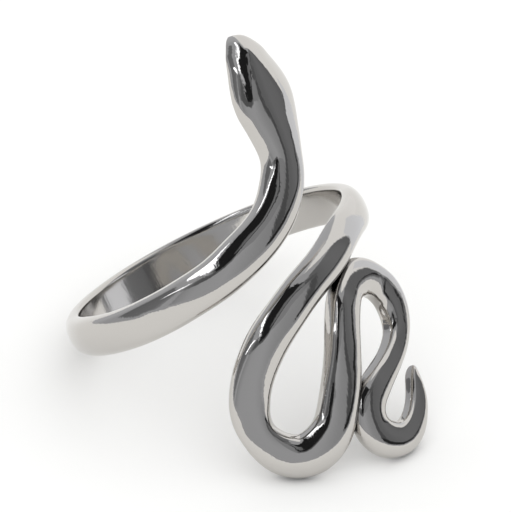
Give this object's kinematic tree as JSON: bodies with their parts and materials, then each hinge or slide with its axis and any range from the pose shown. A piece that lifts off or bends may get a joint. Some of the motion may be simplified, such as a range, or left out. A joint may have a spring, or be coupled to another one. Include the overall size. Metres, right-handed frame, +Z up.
{
  "type": "snake ring",
  "caption": "Open wrap ring in polished silver shaped as a snake: the head lies up along the finger and the tail folds down it in two loops and a hook.",
  "frame": {"origin": "on the axis of the finger hole, level with the middle of the band at the back of the finger; the floor it rests on is 6.08 mm below", "axes": "+Z up as the ring rests by itself, +X to the right and +Y away from the viewer as the picture sees it; the finger hole leans 34 degrees from +Z, towards -X and +Y"},
  "size_m": [0.022, 0.0221, 0.0228],
  "materials": {
    "silver": "polished"
  },
  "bodies": {
    "root": {"snake_ring": "silver"}
  },
  "joints": []
}
